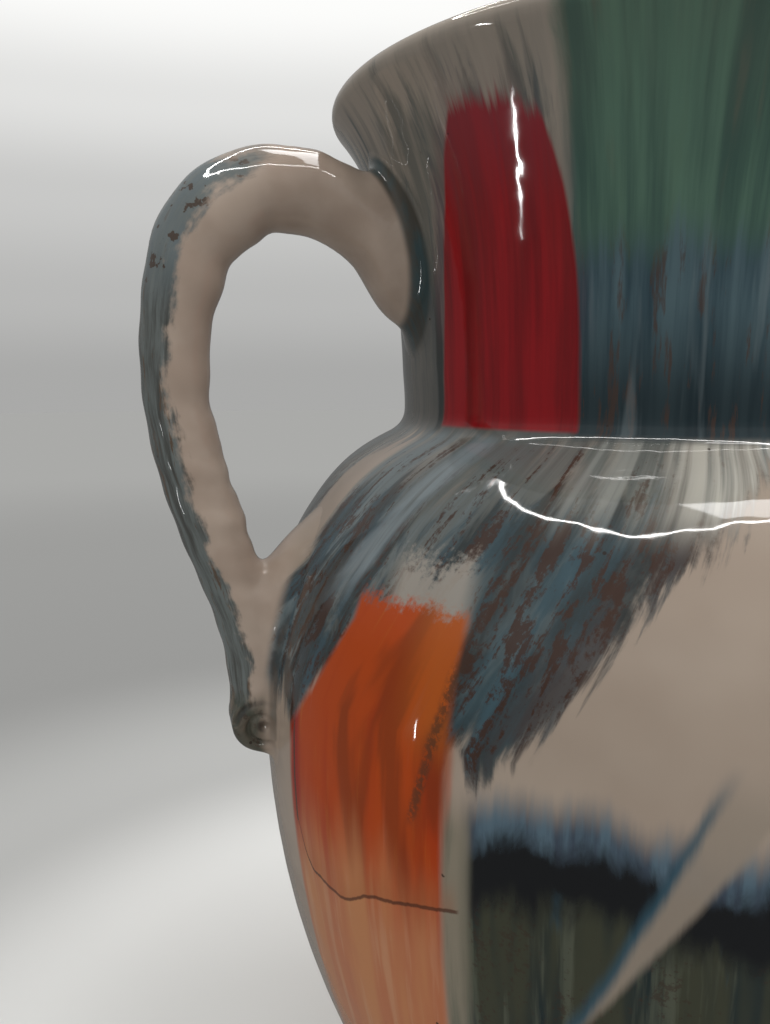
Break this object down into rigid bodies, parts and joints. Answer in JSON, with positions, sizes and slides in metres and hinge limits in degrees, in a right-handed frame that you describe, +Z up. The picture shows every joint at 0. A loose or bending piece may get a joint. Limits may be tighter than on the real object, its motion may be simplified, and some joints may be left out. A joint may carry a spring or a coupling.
{
  "type": "oinochoe jug",
  "caption": "Glazed pottery pouring jug: broad belly on a disc foot, wide flared neck with a pinched three-lobed lip, and a round coil handle that ends in a rolled scroll.",
  "frame": {"origin": "middle of the resting plane under the foot, on the axis of the thrown body", "axes": "+Z up the axis of the thrown body, the pouring lip towards +X, the handle towards -X"},
  "size_m": [0.2376, 0.21, 0.3],
  "materials": {
    "bare_clay": "matt, unglazed, fine grained",
    "body_clay": "matt, fired clay under the glaze",
    "run_glaze": "high gloss run glaze, streaked teal, brown, red and orange over beige",
    "handle_glaze": "high gloss beige glaze with grey-teal streaks",
    "inner_glaze": "gloss, plain beige"
  },
  "bodies": {
    "root": {"foot": "bare_clay", "belly": "body_clay", "neck": "body_clay", "seam_coil": "run_glaze", "handle": "handle_glaze", "scroll": "handle_glaze", "upper_pad": "run_glaze", "lower_pad": "handle_glaze", "belly_glaze": "run_glaze", "neck_glaze": "run_glaze", "liner_glaze": "inner_glaze"}
  },
  "joints": []
}
